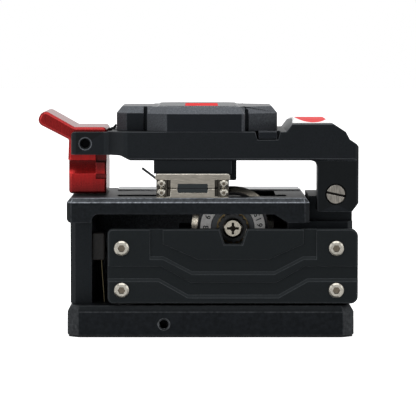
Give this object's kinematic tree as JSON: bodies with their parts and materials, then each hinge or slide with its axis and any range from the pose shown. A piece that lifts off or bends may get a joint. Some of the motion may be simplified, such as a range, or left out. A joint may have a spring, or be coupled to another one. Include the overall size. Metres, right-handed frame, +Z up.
{
  "type": "optical fibre cleaver",
  "caption": "Desktop fibre cleaver: hinged arm with sprung clamps, anvil and red latch lever over a platform, and a sliding carriage that carries a round blade.",
  "frame": {"origin": "centre of the base's underside", "axes": "+X from the latch lever to the hinge, +Y along the fibre away from the side plate, +Z up"},
  "size_m": [0.0786, 0.0483, 0.0563],
  "materials": {
    "black_anodised": "satin black anodised aluminium",
    "black_plate": "fine satin black anodised aluminium",
    "red_anodised": "glossy red anodised aluminium",
    "pad_plastic": "fine matte black plastic",
    "inlay_red": "satin red plastic, bare",
    "badge_light": "light plate, bare",
    "steel_screw": "plain steel screws",
    "dark_steel": "dark ground steel",
    "clamp_steel": "bright ground steel",
    "hard_metal": "polished hard metal",
    "ring_print": "pale anodised aluminium",
    "brass": "turned brass",
    "guide_alu": "satin clear anodised aluminium",
    "pad_rubber": "dark clamp rubber",
    "bumper_rubber": "brown black rubber",
    "mat_rubber": "black anti-slip rubber",
    "spring_steel": "drawn spring wire",
    "black_wire": "blackened wire",
    "magnet": "nickel plated magnet"
  },
  "bodies": {
    "base": {"base_plate": "black_anodised", "base_mat": "mat_rubber", "base_screws": "dark_steel", "body_frame": "black_anodised", "hinge_bushes": "brass", "hinge_spring": "spring_steel", "platform": "black_anodised", "latch_magnet": "magnet", "guide_plate": "guide_alu", "lower_clamp_near": "clamp_steel", "lower_clamp_far": "clamp_steel", "lower_pad_near": "pad_rubber", "lower_pad_far": "pad_rubber", "lower_clamp_studs": "steel_screw", "slide_rail": "clamp_steel", "rail_screws": "dark_steel", "bumper": "bumper_rubber", "stop_wire": "brass", "carriage_spring": "spring_steel"},
    "carriage": {"carriage_frame": "black_anodised", "bearing_block": "clamp_steel", "bearing_screws": "dark_steel", "blade_bush": "brass", "side_plate": "black_plate", "side_plate_screws": "steel_screw", "index_leaf": "spring_steel"},
    "blade": {"blade_disc": "hard_metal", "number_ring": "ring_print", "blade_hub": "dark_steel", "blade_washer": "brass", "blade_screw": "steel_screw", "blade_nut": "steel_screw"},
    "arm": {"arm_frame": "black_anodised", "hinge_pin": "steel_screw", "thumb_pad": "pad_plastic", "pad_inlay": "inlay_red", "pad_screws": "dark_steel", "badge_plate": "badge_light", "lever_pin": "dark_steel", "anvil_pin": "dark_steel", "clamp_guide_pins": "dark_steel", "clamp_springs_near": "spring_steel", "clamp_springs_far": "spring_steel", "lever_spring": "spring_steel", "lever_leaf": "black_wire"},
    "near_clamp": {"clamp_holder_near": "black_anodised", "upper_clamp_near": "clamp_steel", "upper_pad_near": "pad_rubber", "upper_studs_near": "steel_screw", "clamp_wire": "black_wire"},
    "far_clamp": {"clamp_holder_far": "black_anodised", "upper_clamp_far": "clamp_steel", "upper_pad_far": "pad_rubber", "upper_studs_far": "steel_screw"},
    "anvil": {"anvil_arm": "black_anodised", "anvil_tip": "clamp_steel"},
    "lever": {"lever": "red_anodised", "latch_keeper": "clamp_steel"}
  },
  "joints": [
    {"name": "arm_hinge", "type": "hinge", "parent": "base", "child": "arm", "pos_m": [0.0306, 0, 0.0347], "axis": [0, 1, 0], "range_deg": [0, 65]},
    {"name": "lever_pivot", "type": "hinge", "parent": "arm", "child": "lever", "pos_m": [-0.0308, 0, 0.0469], "axis": [0, -1, 0], "range_deg": [0, 8], "stiffness_Nm_per_rad": 0.05, "springref_deg": -17.19, "deforming": ["lever_spring"]},
    {"name": "near_clamp_float", "type": "slide", "parent": "arm", "child": "near_clamp", "axis": [0, 0, 1], "range_m": [0, 0.0008], "stiffness_N_per_m": 1500, "springref_m": -0.001, "deforming": ["clamp_springs_near"]},
    {"name": "far_clamp_float", "type": "slide", "parent": "arm", "child": "far_clamp", "axis": [0, 0, 1], "range_m": [0, 0.0008], "stiffness_N_per_m": 1500, "springref_m": -0.001, "deforming": ["clamp_springs_far"]},
    {"name": "anvil_pivot", "type": "hinge", "parent": "arm", "child": "anvil", "pos_m": [0.008, -0.012, 0.0452], "axis": [0, -1, 0], "range_deg": [0, 6], "stiffness_Nm_per_rad": 0.01, "springref_deg": -17.19},
    {"name": "carriage_slide", "type": "slide", "parent": "base", "child": "carriage", "axis": [1, 0, 0], "range_m": [-0.0178, 0], "stiffness_N_per_m": 40, "springref_m": 0.01, "deforming": ["carriage_spring"]},
    {"name": "blade_index", "type": "hinge", "parent": "carriage", "child": "blade", "pos_m": [0.0055, -0.012, 0.0261], "axis": [0, 1, 0], "continuous": true}
  ]
}
